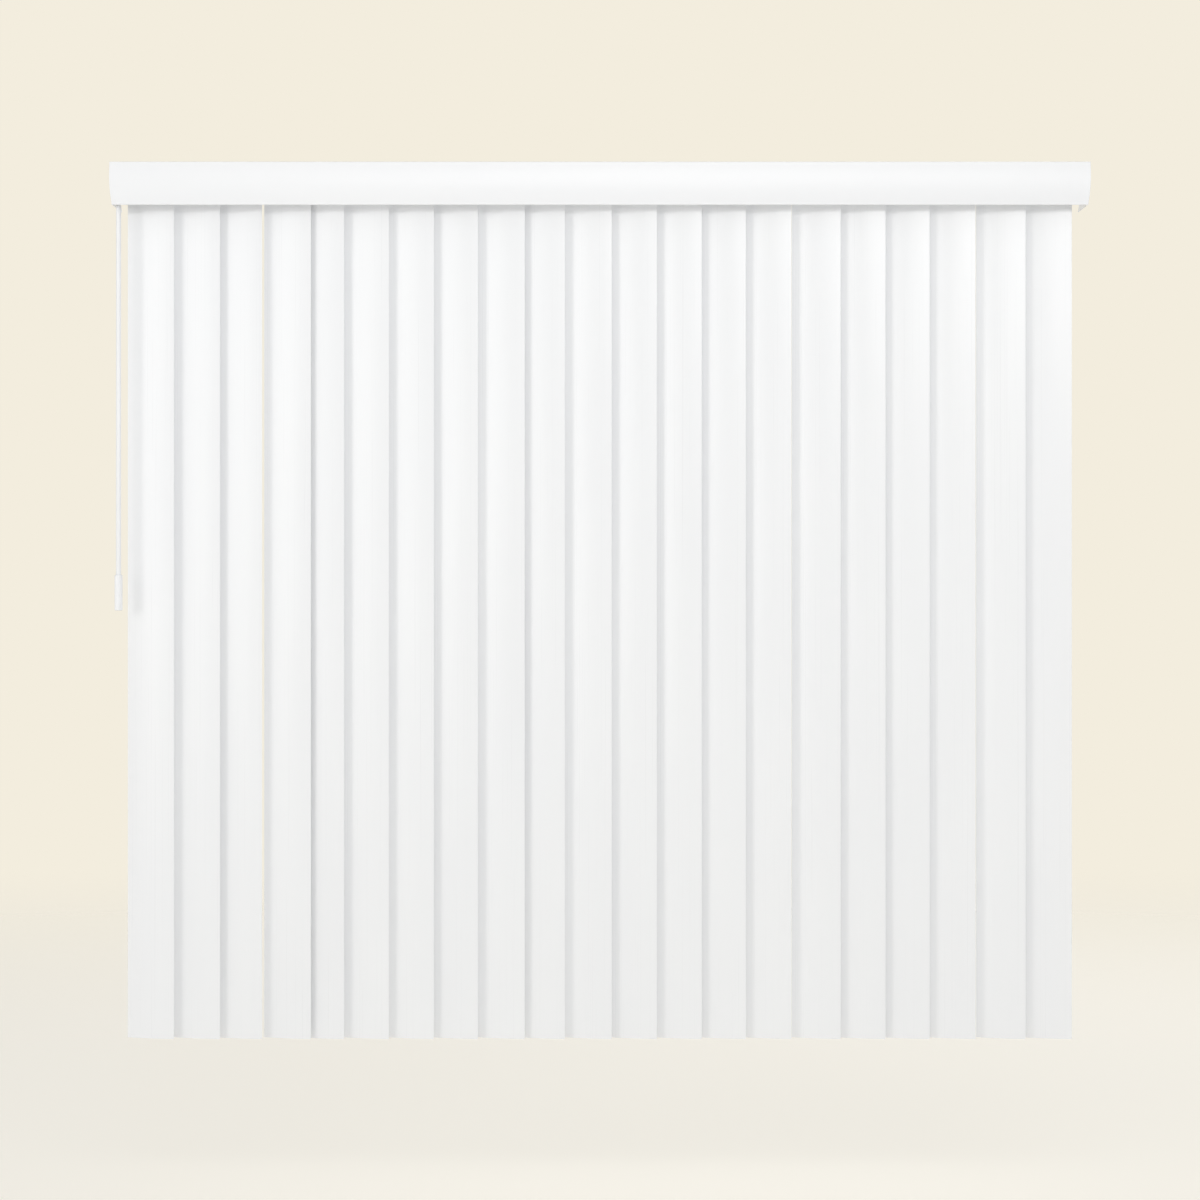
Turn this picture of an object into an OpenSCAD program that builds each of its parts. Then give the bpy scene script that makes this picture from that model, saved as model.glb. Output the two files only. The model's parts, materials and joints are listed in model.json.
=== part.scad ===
// Vertical blind with a wand, hung on the wall with its vanes drawn across and closed.
// Millimetres. +X runs right along the rail, +Y into the wall and +Z up.
// The origin lies on the wall, at the centre of the outer brackets' four screw holes.

/* [Vanes] */
// Number of vanes
vane_count = 21; // [10:1:21]
// Mean spacing of the vanes along the rail
vane_pitch = 80; // [72:0.5:86]
// Width of one vane
vane_w = 89; // [80:1:100]
// Thickness of one vane
vane_t = 0.9; // [0.6:0.1:1.1]
// Height of the bow across a vane
vane_bow = 3.9; // [2:0.1:5]
// Length of one vane
vane_len = 1509; // [900:1:2600]
// Angle of the closed vanes to the wall
close_angle = 16; // [14:1:90]
// Space between a turned vane and the wall
wall_gap = 17.5; // [10:0.5:40]
// Space between a turned vane and the front of the valance
front_gap = 15.5; // [12:0.5:30]

/* [Headrail] */
// Depth of the rail, front to back
rail_w = 40; // [38:0.5:50]
// Height of the rail
rail_h = 28; // [27:0.5:34]
// Wall of the rail
rail_t = 1.4; // [1:0.1:1.8]
// Width of the lips along the rail's top edges
rail_lip = 2.5; // [2:0.1:4]
// Width of the slot along the rail's underside
slot_w = 16; // [15:0.5:18]
// Thickness of the end caps' outer plates
cap_t = 3; // [2:0.5:5]
// Length of the end caps' plugs inside the rail
plug_len = 8; // [5:0.5:9]

/* [Carriers] */
// Spacing of the carriers when the blind is drawn open
stack_pitch = 15; // [14.5:0.5:20]
// Diameter of the fluted tilt rod
rod_d = 6; // [5:0.1:6.5]
// Diameter of the shaft of a vane stem
stem_d = 6.4; // [5:0.1:7]
// Diameter of the gear wheel on a vane stem
wheel_d = 9.8; // [8:0.1:10]
// Width of the hook that grips a vane
hook_w = 12; // [9:0.5:12.5]
// Thickness of the hook's two jaws
jaw_t = 1.5; // [1:0.1:1.8]

/* [Valance] */
// Height of the valance
valance_h = 76; // [70:1:100]
// Wall of the valance
valance_t = 1.8; // [1.4:0.1:2.4]
// Height of the valance above the top of the rail
valance_lift = 10; // [9:0.5:16]
// Distance of the face's foremost line below its top edge
crest_drop = 23; // [16:1:34]
// How far the lower edge lies behind the foremost line
valance_fall = 4.4; // [2:0.1:6]
// Diameter of the bead along both edges
bead_d = 2.8; // [2.6:0.1:4]
// Gap between an end cap and the return beside it
end_gap = 3.7; // [3.2:0.1:8]
// Width of one valance clip
clip_w = 18; // [10:1:30]
// Distance of the outer clips from the ends of the rail
clip_inset = 120; // [60:5:160]

/* [Wand] */
// Width of the six-sided wand across its corners
wand_d = 9.4; // [8:0.1:10]
// Length of the wand and its cap below their pivot
wand_len = 724; // [300:1:1200]
// Diameter of the grip
grip_d = 14; // [11:0.5:18]
// Length of the grip
grip_len = 63.5; // [40:0.5:120]

/* [Brackets] */
// Width of one bracket
bracket_w = 32; // [24:1:40]
// Thickness of the bracket's sheet
bracket_t = 2; // [1.5:0.1:2.5]
// Diameter of the screw holes
screw_d = 5; // [4:0.1:6]
// Distance between the two screw holes of a bracket
screw_gap = 22; // [16:0.5:26]
// Distance of the outer brackets from the ends of the rail
bracket_inset = 219; // [190:1:260]

/* [Clearances] */
// Gap between the carriers and the track that they run in
slide_gap = 0.4; // [0.3:0.05:0.6]
// Radial gap of every turning shaft and pin
turn_gap = 0.1; // [0.05:0.01:0.15]
// Gap between pieces that clip together
clip_gap = 0.2; // [0.1:0.05:0.3]

/* [Hidden] */
$fn = 96;
// Room for a boolean cut to pass a face
cut = 1;

// How far each carrier stands from its even place, because the links between them are slack
drift = [0, 2, -3, 4, -17, -17, -17, -18.5, -15, -23.5, -20,
         -19.5, -19.5, -21, -19.5, -12, -12, -13.5, -11.5, -2.5, 0];

// Room in the rail beyond the turned first and last vane
lead_room = 11.5;
tail_room = 17.5;
row_len = (vane_count - 1) * vane_pitch;
rail_len = row_len + vane_w + lead_room + tail_room;
row_x = -rail_len / 2 + vane_w / 2 + lead_room;

// Heights and depths that the pieces share
screw_drop = 12;
rail_top = screw_gap / 2 + screw_drop;
rail_bottom = rail_top - rail_h;
axis_y = -(vane_w / 2 + wall_gap);
rail_front = axis_y - rail_w / 2;

// Track inside the rail, measured from the rail's underside
guide_reach = 3;
guide_t = 1.2;
track_h = 5.6;
track_z = rail_t;
guide_z = track_z + track_h;
rail_in_w = rail_w - 2 * rail_t;
rail_chamfer = 1.2;

// Carrier block, measured from the rail's underside
link_room = 7.6;
block_side_gap = 2.6;
block_w = rail_in_w - 2 * (guide_reach + block_side_gap);
block_z = track_z + slide_gap;
block_top = rail_h - rail_t - link_room;
carrier_gap = 2;
carrier_t = stack_pitch - carrier_gap;
runner_h = track_h - 2 * slide_gap;
runner_w = rail_in_w - 2 * slide_gap;
boss_d = 12;
boss_drop = 3;
rod_off = 7.5;
rod_z = block_top - rod_d / 2 - 2.5;
rod_gap = 0.5;
pocket_z = block_z + 2.7;
pocket_h = 4.7;
pocket_d = wheel_d + 0.6;
seat_gap = 0.15;

// Spacer link, which rises to the left so that stacked links lie over each other
link_t = 0.5;
link_w = 7;
link_slack = 18;
link_len = vane_pitch + link_slack;
link_rise = 3.2;
link_foot = 4;
fence_t = 1.2;
fence_h = 4;
fence_len = 8;

// Vane and the hook that grips it, measured from the rail's underside
vane_drop = 10;
vane_r = (pow(vane_w / 2, 2) + pow(vane_bow, 2)) / (2 * vane_bow);
grip_gap = 0.15;
jaw_len = 16;
jaw_taper = 2;
hook_z = -8.5;
hook_bridge = 3.5;
hole_w = 12;
hole_h = 5;
hole_chamfer = 1.2;
hole_drop = 5.4;
lug_w = 7;
lug_h = 3;
lug_gap = 0.1;

// Valance section: the face is an arc about a centre far behind it
front_y = axis_y - vane_w / 2 - front_gap;
valance_top = rail_top + valance_lift;
valance_bottom = valance_top - valance_h;
valance_w = rail_len + 2 * (cap_t + end_gap + valance_t);
crest_h = valance_h - crest_drop;
face_r = (pow(crest_h, 2) + pow(valance_fall, 2)) / (2 * valance_fall);
rib_inset = 6;
rib_reach = 5;
rib_t = 1.2;
rib_tip = 3;
mitre_depth = 14;
mitre_over = 5;

// Valance clips and corner pieces
clip_t = 1.6;
clip_seat = 12;
hook_under = 2;
corner_len = 28;
corner_half_h = 12;

// Brackets
leg_tail = 9;
gusset = 18;
bracket_x = rail_len / 2 - bracket_inset;
clip_x = rail_len / 2 - clip_inset;

// Wand carrier and the universal joint under its arm, measured from the rail's underside
lead_gap = 32;
lead_len = 24;
lead_neck_d = 14;
coupler = 5;
arm_boss_d = 13;
arm_w = 10;
arm_step = 0.6;
arm_top = -2.5;
arm_h = 6.5;
arm_roof = 1.4;
wand_end_gap = 1.2;
wand_front_gap = 7.5;
wand_disc_d = 8.4;
wand_disc_h = 2.6;
wand_stem_d = 6;
eye_d = 3.4;
eye_r = 3.5;
tab_t = 2.4;
ear_gap = 0.4;
ear_t = 1.8;
eye_z = -20.5;
link_drop = 11;
eye_room = 0.5;
cap_bridge = 2;
spigot_d = 4;
spigot_len = 10;
grip_floor = 2;
grip_round = 2;

// Inner face of a return at its lower bead, which the wand hangs beside
return_in = valance_w / 2 - valance_fall - valance_t / 2 - bead_d / 2;
wand_x = -(return_in - wand_end_gap - wand_d / 2);
wand_y = rail_front - rail_lip - wand_front_gap;
wand_z = rail_bottom + eye_z - link_drop;
cap_drop = eye_r + eye_room + cap_bridge;
lead_x = row_x - lead_gap;

pale = [0.95, 0.955, 0.96];
white = [0.97, 0.975, 0.98];
clear_white = [0.88, 0.9, 0.92];
metal_white = [0.9, 0.91, 0.92];
steel = [0.74, 0.76, 0.78];

function two(i) = i < 10 ? str("0", i) : str(i);
function slack(i) = i <= len(drift) ? drift[i - 1] : 0;
function carrier_x(i) = row_x + (i - 1) * vane_pitch + slack(i);

// Middle of the valance wall at height h, measured outwards from the face's foremost line
function wall_at(h) = sqrt(pow(face_r - valance_t / 2, 2) - pow(h - crest_h, 2)) - face_r;

// Turns a section drawn as depth and height into a bar along X, centred on the origin
module along_x(length) {
    rotate([90, 0, 90])
        linear_extrude(height = length, center = true)
            children();
}

// A bar with a round boss at each end, standing on z = 0, from the origin to a point in plan
module bossed_bar(to, boss, width, height) {
    cylinder(h = height, d = boss);
    translate([to[0], to[1], 0])
        cylinder(h = height, d = boss);
    rotate([0, 0, atan2(to[1], to[0])])
        translate([0, -width / 2, arm_step])
            cube([norm(to), width, height - 2 * arm_step]);
}

// An eye across X: a round-ended tab that hangs from height top to the eye at z = 0
module eye_tab(thickness, top) {
    rotate([0, 90, 0])
        cylinder(h = thickness, r = eye_r, center = true);
    translate([-thickness / 2, -eye_r, 0])
        cube([thickness, 2 * eye_r, top]);
}

// A fork across X: two ears and the pin between them, on a bridge below the eye at z = 0
module eye_fork(bridge) {
    reach = tab_t / 2 + ear_gap + ear_t;
    for (side = [-1, 1])
        translate([side * (reach - ear_t / 2), 0, 0])
            rotate([180, 0, 0])
                eye_tab(ear_t, eye_r + eye_room + bridge);
    rotate([0, 90, 0])
        cylinder(h = 2 * reach - ear_t, d = eye_d - 2 * turn_gap, center = true);
    translate([-reach, -eye_r, -eye_r - eye_room - bridge])
        cube([2 * reach, 2 * eye_r, bridge]);
}

// Outline of the rail's section, with its lips, centred over the slot
module rail_outline() {
    half = rail_w / 2;
    polygon([
        [-half + rail_chamfer, 0], [half - rail_chamfer, 0], [half, rail_chamfer],
        [half, rail_h - rail_t], [half + rail_lip, rail_h - rail_t], [half + rail_lip, rail_h],
        [-half - rail_lip, rail_h], [-half - rail_lip, rail_h - rail_t], [-half, rail_h - rail_t],
        [-half, rail_chamfer]]);
}

// The same points on the other side of the rail, in reverse
function flipped(points) = [for (k = [len(points) - 1:-1:0]) [-points[k][0], points[k][1]]];

// Section of the rail as one loop: outside, then inside with the guide ribs over the track
module rail_section() {
    half = rail_w / 2;
    in = rail_in_w / 2;
    outside = [
        [slot_w / 2, 0], [half - rail_chamfer, 0], [half, rail_chamfer],
        [half, rail_h - rail_t], [half + rail_lip, rail_h - rail_t], [half + rail_lip, rail_h]];
    inside = [
        [in, rail_h - rail_t], [in, guide_z + guide_t], [in - guide_reach, guide_z + guide_t],
        [in - guide_reach, guide_z], [in, guide_z], [in, track_z], [slot_w / 2, track_z]];
    polygon(concat(outside, flipped(outside), flipped(inside), inside));
}

module headrail() {
    color(metal_white)
        translate([0, axis_y, rail_bottom])
            along_x(rail_len)
                rail_section();
}

// End cap at the rail's end on the given side, -1 left or 1 right
module end_cap(side) {
    plug_w = block_w;
    plug_h = rail_h - 2 * rail_t - 2 * clip_gap;
    color(pale)
        translate([side * rail_len / 2, axis_y, rail_bottom])
            difference() {
                union() {
                    translate([side * cap_t / 2, 0, 0])
                        along_x(cap_t)
                            rail_outline();
                    translate([-side * plug_len / 2, 0, track_z + clip_gap])
                        along_x(plug_len)
                            translate([-plug_w / 2, 0])
                                square([plug_w, plug_h]);
                }
                translate([-side * (plug_len + cut) / 2, rod_off, rod_z])
                    rotate([0, 90, 0])
                        cylinder(h = plug_len + cut, d = journal_d() + 2 * turn_gap, center = true);
            }
}

// The rod's plain ends are turned down below the roots of its flutes
function journal_d() = rod_d - 2 * flute_d();
function flute_d() = rod_d / 8;

module tilt_rod() {
    fluted_len = rail_len - 2 * plug_len - 2 * clip_gap;
    journal_len = plug_len - clip_gap;
    color(steel)
        translate([0, axis_y + rod_off, rail_bottom + rod_z])
            union() {
                along_x(fluted_len)
                    difference() {
                        circle(d = rod_d);
                        for (a = [0:60:300])
                            rotate(a)
                                translate([rod_d / 2, 0])
                                    circle(r = flute_d());
                    }
                for (side = [-1, 1])
                    translate([side * (fluted_len + journal_len) / 2, 0, 0])
                        rotate([0, 90, 0])
                            cylinder(h = journal_len, d = journal_d(), center = true);
            }
}

// Section of the hook that passes under one lip of the rail, for the lip on the -Y side
module lip_hook(thickness) {
    lip_edge = rail_front - rail_lip - clip_gap;
    drop = rail_t + clip_gap + thickness;
    translate([lip_edge - thickness, rail_top - drop])
        square([thickness, drop + thickness]);
    translate([lip_edge - thickness, rail_top - drop])
        square([thickness + hook_under, thickness]);
}

module bracket_section() {
    reach = rail_front - rail_lip - clip_gap - bracket_t;
    leg_bottom = -screw_gap / 2 - leg_tail;
    translate([-bracket_t, leg_bottom])
        square([bracket_t, rail_top + bracket_t - leg_bottom]);
    translate([reach, rail_top])
        square([-reach, bracket_t]);
    lip_hook(bracket_t);
    translate([2 * axis_y, 0])
        mirror([1, 0])
            lip_hook(bracket_t);
}

// Angle bracket centred on x = 0, clipped over the rail and screwed flat to the wall
module bracket() {
    color(metal_white)
        difference() {
            union() {
                along_x(bracket_w)
                    bracket_section();
                for (side = [-1, 1])
                    translate([side * (bracket_w - bracket_t) / 2, 0, 0])
                        along_x(bracket_t)
                            polygon([
                                [-bracket_t / 2, rail_top + bracket_t / 2],
                                [-bracket_t / 2, rail_top - gusset],
                                [-bracket_t, rail_top - gusset],
                                [-bracket_t - gusset, rail_top],
                                [-bracket_t - gusset, rail_top + bracket_t / 2]]);
            }
            for (z = [-0.5, 0.5])
                translate([0, 0, z * screw_gap])
                    rotate([90, 0, 0])
                        cylinder(h = 2 * bracket_t + cut, d = screw_d, center = true);
        }
}

// Section of the valance: outwards along X from the foremost line, upwards along Y
module valance_section(lower_rib) {
    bead_r = bead_d / 2;
    intersection() {
        difference() {
            translate([-face_r, crest_h])
                circle(r = face_r, $fn = 256);
            translate([-face_r, crest_h])
                circle(r = face_r - valance_t, $fn = 256);
        }
        translate([-face_r / 2, bead_r])
            square([face_r, valance_h - bead_d]);
    }
    for (h = [bead_r, valance_h - bead_r])
        translate([wall_at(h), h])
            circle(r = bead_r);
    upper = valance_h - rib_inset;
    valance_rib(upper, -1);
    if (lower_rib)
        valance_rib(rib_inset, 1);
}

// Hooked rib on the back of the valance at height h, its tip turned up or down by way
module valance_rib(h, way) {
    inner = wall_at(h) - rib_reach;
    translate([inner, h - rib_t / 2])
        square([rib_reach, rib_t]);
    translate([inner, way > 0 ? h - rib_t / 2 : h + rib_t / 2 - rib_tip])
        square([rib_t, rib_tip]);
}

// Length of valance strip centred on x = 0, its foremost line on y = 0
module valance_strip(length, lower_rib) {
    translate([0, 0, valance_bottom])
        along_x(length)
            mirror([1, 0])
                valance_section(lower_rib);
}

// Upright prism over a plan outline, taller than the valance
module valance_prism(points) {
    translate([0, 0, valance_bottom - cut])
        linear_extrude(height = valance_h + 2 * cut)
            polygon(points);
}

module valance_face() {
    outer = valance_w / 2 + mitre_over;
    inner = valance_w / 2 - mitre_depth;
    color(white)
        intersection() {
            translate([0, front_y, 0])
                valance_strip(valance_w + 2 * mitre_over, true);
            valance_prism([
                [-outer, front_y - mitre_over], [outer, front_y - mitre_over],
                [inner, front_y + mitre_depth], [-inner, front_y + mitre_depth]]);
        }
}

// Return that closes the valance's left end back to the wall
module left_return() {
    depth = mitre_over - front_y;
    outer = -valance_w / 2 - mitre_over;
    inner = -valance_w / 2 + mitre_depth;
    color(white)
        intersection() {
            translate([-valance_w / 2, -depth / 2, 0])
                rotate([0, 0, -90])
                    valance_strip(depth, false);
            valance_prism([
                [outer, front_y - mitre_over], [inner, front_y + mitre_depth],
                [inner, cut], [outer, cut]]);
        }
}

// Angle piece behind the left mitre, against the backs of the face and the return
module left_corner() {
    setback = -wall_at(crest_h + corner_half_h) + valance_t / 2 + clip_gap;
    corner = [-valance_w / 2 + setback, front_y + setback];
    color(clear_white)
        translate([corner[0], corner[1], valance_bottom + crest_h - corner_half_h])
            linear_extrude(height = 2 * corner_half_h)
                polygon([
                    [0, 0], [corner_len, 0], [corner_len, clip_t],
                    [clip_t, clip_t], [clip_t, corner_len], [0, corner_len]]);
}

// Section of a valance clip: a leaning plate behind the face, and an arm that hooks on the rail
module clip_section() {
    low = rib_inset + rib_t / 2 + clip_gap;
    high = valance_h - rib_inset - rib_t / 2 - clip_gap;
    low_y = front_y - wall_at(low) + valance_t / 2 + clip_gap;
    high_y = front_y - wall_at(high) + valance_t / 2 + clip_gap;
    polygon([
        [low_y, valance_bottom + low], [high_y, valance_bottom + high],
        [high_y + clip_t, valance_bottom + high], [low_y + clip_t, valance_bottom + low]]);
    arm_y = high_y + clip_t / 2;
    translate([arm_y, rail_top])
        square([rail_front + clip_seat - arm_y, clip_t]);
    lip_hook(clip_t);
}

module valance_clip() {
    color(clear_white)
        along_x(clip_w)
            clip_section();
}

// Spacer link on a foot on top of a carrier, rising over the next carrier on the left
module carrier_link() {
    slope = tan(link_rise);
    translate([0, 0, block_top])
        rotate([90, 0, 0])
            linear_extrude(height = link_w, center = true)
                polygon([
                    [0, -cut], [0, link_t], [-link_len, link_len * slope + link_t],
                    [-link_len, link_len * slope], [-link_foot, link_foot * slope], [-link_foot, -cut]]);
}

// Two fences on top of a carrier that keep the links in line
module link_fences() {
    for (side = [-1, 1])
        translate([-fence_len / 2, side * (link_w / 2 + slide_gap + fence_t / 2) - fence_t / 2, block_top - cut])
            cube([fence_len, fence_t, fence_h + cut]);
}

// Moulded block that runs in the track, with the runners under the guide ribs
module runner_block(length) {
    translate([-length / 2, -block_w / 2, block_z])
        cube([length, block_w, block_top - block_z]);
    for (x = [-1, 1])
        translate([x * (length - runner_h) / 2, 0, block_z + runner_h / 2])
            rotate([90, 0, 0])
                cylinder(h = runner_w, d = runner_h, center = true);
    translate([-(length - runner_h) / 2, -runner_w / 2, block_z])
        cube([length - runner_h, runner_w, runner_h]);
}

module rod_bore(length) {
    translate([0, rod_off, rod_z])
        rotate([0, 90, 0])
            cylinder(h = length + 2 * cut, d = rod_d + 2 * rod_gap, center = true);
}

module carrier(i) {
    color(pale)
        translate([carrier_x(i), axis_y, rail_bottom]) {
            difference() {
                union() {
                    runner_block(carrier_t);
                    translate([0, 0, -boss_drop])
                        cylinder(h = boss_drop + pocket_z, d = boss_d);
                }
                rod_bore(carrier_t);
                translate([0, 0, pocket_z])
                    cylinder(h = pocket_h, d = pocket_d);
                translate([0, 0, -boss_drop - cut])
                    cylinder(h = boss_drop + pocket_z + 2 * cut, d = stem_d + 2 * turn_gap);
            }
            link_fences();
            if (i > 1)
                carrier_link();
        }
}

// Outline of one jaw of the vane hook, narrowing towards its lower end
module jaw_outline() {
    half = hook_w / 2;
    polygon([
        [-half, 0], [half, 0], [half, -jaw_len / 2],
        [half - jaw_taper, -jaw_len], [jaw_taper - half, -jaw_len], [-half, -jaw_len / 2]]);
}

// Stem of a vane: the gear wheel, the shaft and the two-jawed hook with its lug
module vane_stem() {
    jaw_off = vane_t / 2 + grip_gap;
    hook_depth = 2 * (jaw_off + jaw_t);
    wheel_z = pocket_z + seat_gap;
    lug_top = -vane_drop - hole_drop - lug_gap;
    color(pale) {
        translate([0, 0, wheel_z])
            cylinder(h = pocket_h - 3 * seat_gap, d = wheel_d);
        translate([0, 0, hook_z])
            cylinder(h = wheel_z - hook_z + seat_gap, d = stem_d);
        translate([-hook_w / 2, -hook_depth / 2, hook_z])
            cube([hook_w, hook_depth, hook_bridge]);
        for (side = [-1, 1])
            translate([0, side * (jaw_off + jaw_t / 2), hook_z])
                rotate([90, 0, 0])
                    linear_extrude(height = jaw_t, center = true)
                        jaw_outline();
        translate([-lug_w / 2, -jaw_off - jaw_t / 2, lug_top - lug_h])
            cube([lug_w, 2 * jaw_off + jaw_t, lug_h]);
    }
}

// Bowed strip, rounded side towards -Y, with the hole that the hook's lug passes through
module vane_blade() {
    color(white)
        difference() {
            translate([0, 0, -vane_drop - vane_len])
                linear_extrude(height = vane_len)
                    intersection() {
                        translate([0, vane_r])
                            difference() {
                                circle(r = vane_r + vane_t / 2, $fn = 256);
                                circle(r = vane_r - vane_t / 2, $fn = 256);
                            }
                        translate([-vane_w / 2, -vane_t])
                            square([vane_w, vane_bow + 3 * vane_t]);
                    }
            translate([0, 0, -vane_drop - hole_drop - hole_h / 2])
                rotate([90, 0, 0])
                    linear_extrude(height = 4 * vane_t, center = true)
                        chamfered_slot();
        }
}

// Outline of the hole near the top of a vane
module chamfered_slot() {
    x = hole_w / 2;
    y = hole_h / 2;
    c = hole_chamfer;
    polygon([
        [c - x, -y], [x - c, -y], [x, c - y], [x, y - c],
        [x - c, y], [c - x, y], [-x, y - c], [-x, c - y]]);
}

module vane(i) {
    translate([carrier_x(i), axis_y, rail_bottom])
        rotate([0, 0, -close_angle]) {
            vane_stem();
            vane_blade();
        }
}

// Lead carrier: a longer block coupled to the first carrier, and the arm that the wand hangs from
module wand_carrier() {
    reach = [wand_x - lead_x, wand_y - axis_y];
    pocket_top = arm_top - arm_roof;
    pocket_floor = pocket_top - wand_disc_h - 3 * seat_gap;
    color(pale)
        translate([lead_x, axis_y, rail_bottom])
            difference() {
                union() {
                    runner_block(lead_len);
                    translate([0, 0, arm_top - cut])
                        cylinder(h = block_z - arm_top + 2 * cut, d = lead_neck_d);
                    translate([0, 0, arm_top - arm_h])
                        bossed_bar(reach, arm_boss_d, arm_w, arm_h);
                    translate([0, -block_w / 2, rod_z - coupler / 2])
                        cube([lead_gap - carrier_t / 2, coupler, coupler]);
                }
                rod_bore(lead_len);
                translate([reach[0], reach[1], pocket_floor])
                    cylinder(h = pocket_top - pocket_floor, d = wand_disc_d + 2 * rod_gap);
                translate([reach[0], reach[1], arm_top - arm_h - cut])
                    cylinder(h = pocket_floor - arm_top + arm_h + 2 * cut, d = wand_stem_d + 2 * turn_gap);
            }
}

// Turning stem under the arm, with the eye that the link hangs in
module wand_stem() {
    disc_z = arm_top - arm_roof - wand_disc_h - 2 * seat_gap;
    shaft_end = arm_top - arm_h - 1.5;
    color(pale)
        translate([wand_x, wand_y, rail_bottom])
            difference() {
                union() {
                    translate([0, 0, disc_z])
                        cylinder(h = wand_disc_h, d = wand_disc_d);
                    translate([0, 0, shaft_end])
                        cylinder(h = disc_z - shaft_end + seat_gap, d = wand_stem_d);
                    translate([0, 0, eye_z])
                        eye_tab(tab_t, shaft_end - eye_z + seat_gap);
                }
                translate([0, 0, eye_z])
                    rotate([0, 90, 0])
                        cylinder(h = tab_t + 2 * cut, d = eye_d, center = true);
            }
}

// Cross link: a fork on the stem's eye above, and an eye turned a quarter for the wand below
module wand_link() {
    bridge = 2.5;
    drop = link_drop - eye_r - eye_room - bridge / 2;
    color(pale)
        translate([wand_x, wand_y, rail_bottom + eye_z])
            difference() {
                union() {
                    eye_fork(bridge);
                    translate([0, 0, -link_drop])
                        rotate([0, 0, 90])
                            eye_tab(tab_t, drop);
                }
                translate([0, 0, -link_drop])
                    rotate([90, 0, 0])
                        cylinder(h = tab_t + 2 * cut, d = eye_d, center = true);
            }
}

// Fork at the top of the wand, with the spigot that plugs into the rod
module wand_cap() {
    color(pale)
        translate([wand_x, wand_y, wand_z]) {
            rotate([0, 0, 90])
                eye_fork(cap_bridge);
            translate([0, 0, -cap_drop - spigot_len])
                cylinder(h = spigot_len + cap_bridge / 2, d = spigot_d);
        }
}

// Six-sided rod with two flats towards the room and the wall, bored for the spigot
module wand_rod() {
    length = wand_len - cap_drop - grip_floor;
    color(white)
        translate([wand_x, wand_y, wand_z - cap_drop - length])
            difference() {
                cylinder(h = length, d = wand_d, $fn = 6);
                translate([0, 0, length - spigot_len - clip_gap])
                    cylinder(h = spigot_len + clip_gap + cut, d = spigot_d + 2 * turn_gap);
            }
}

// Sleeve on the lower end of the wand, closed below, with rounded ends
module wand_grip() {
    outer = grip_d / 2;
    color(white)
        translate([wand_x, wand_y, wand_z - wand_len])
            difference() {
                rotate_extrude()
                    union() {
                        translate([0, grip_round])
                            square([outer, grip_len - 2 * grip_round]);
                        square([outer - grip_round, grip_len]);
                        for (z = [grip_round, grip_len - grip_round])
                            translate([outer - grip_round, z])
                                circle(r = grip_round);
                    }
                translate([0, 0, grip_floor])
                    cylinder(h = grip_len, d = wand_d + 2 * clip_gap, $fn = 6);
            }
}

headrail();
end_cap(-1);  // end_cap_left
end_cap(1);  // end_cap_right
tilt_rod();
translate([-bracket_x, 0, 0]) bracket();  // bracket_left
bracket();  // bracket_middle
translate([bracket_x, 0, 0]) bracket();  // bracket_right
valance_face();
left_return();  // valance_return_left
mirror([1, 0, 0]) left_return();  // valance_return_right
for (side = [0, 1]) mirror([side, 0, 0]) left_corner();  // valance_corners
for (k = [-1, -1/3, 1/3, 1])  // valance_clips
        translate([k * clip_x, 0, 0]) valance_clip();
wand_carrier();
wand_stem();
wand_link();
wand_cap();
wand_rod();
wand_grip();
for (i = [1:vane_count]) {
    carrier(i);
    vane(i);
}
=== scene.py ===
# %% [markdown]
# This lesson dresses a vertical blind. Twenty-one bowed plastic vanes hang from carriers in a
# headrail, a curved valance hides the rail, and a six-sided wand hangs at the far left.
# The imported frame already holds every piece at its place and size. So the first cell loads it,
# and keeps the frame's box, which later cells use and the last cell prints.

# %% Load the frame
import json
import math

import bmesh
import bpy
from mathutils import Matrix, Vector


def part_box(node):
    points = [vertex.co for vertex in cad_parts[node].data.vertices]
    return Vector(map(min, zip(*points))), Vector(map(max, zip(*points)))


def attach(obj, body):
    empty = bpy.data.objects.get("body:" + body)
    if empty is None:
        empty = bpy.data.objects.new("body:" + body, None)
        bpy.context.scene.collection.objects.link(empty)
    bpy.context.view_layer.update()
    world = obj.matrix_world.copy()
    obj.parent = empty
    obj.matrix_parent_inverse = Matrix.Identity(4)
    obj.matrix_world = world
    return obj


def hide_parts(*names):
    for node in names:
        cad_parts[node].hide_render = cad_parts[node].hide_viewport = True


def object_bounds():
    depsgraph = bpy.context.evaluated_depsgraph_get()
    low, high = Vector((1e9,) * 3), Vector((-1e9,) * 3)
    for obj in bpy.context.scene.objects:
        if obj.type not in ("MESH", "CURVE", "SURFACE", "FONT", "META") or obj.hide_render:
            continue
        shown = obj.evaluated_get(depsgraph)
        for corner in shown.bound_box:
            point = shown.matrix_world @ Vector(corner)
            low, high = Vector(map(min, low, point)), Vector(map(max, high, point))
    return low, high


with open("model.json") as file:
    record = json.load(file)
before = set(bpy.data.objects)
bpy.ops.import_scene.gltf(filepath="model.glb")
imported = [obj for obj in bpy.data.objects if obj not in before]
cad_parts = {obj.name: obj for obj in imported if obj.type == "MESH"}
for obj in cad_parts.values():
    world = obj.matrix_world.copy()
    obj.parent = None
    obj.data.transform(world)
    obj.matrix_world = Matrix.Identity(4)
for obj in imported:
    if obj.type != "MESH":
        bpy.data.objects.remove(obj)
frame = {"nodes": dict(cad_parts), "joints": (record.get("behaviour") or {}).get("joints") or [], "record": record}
frame_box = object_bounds()
scene = bpy.context.scene
scene.view_settings.view_transform = "Standard"

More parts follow.
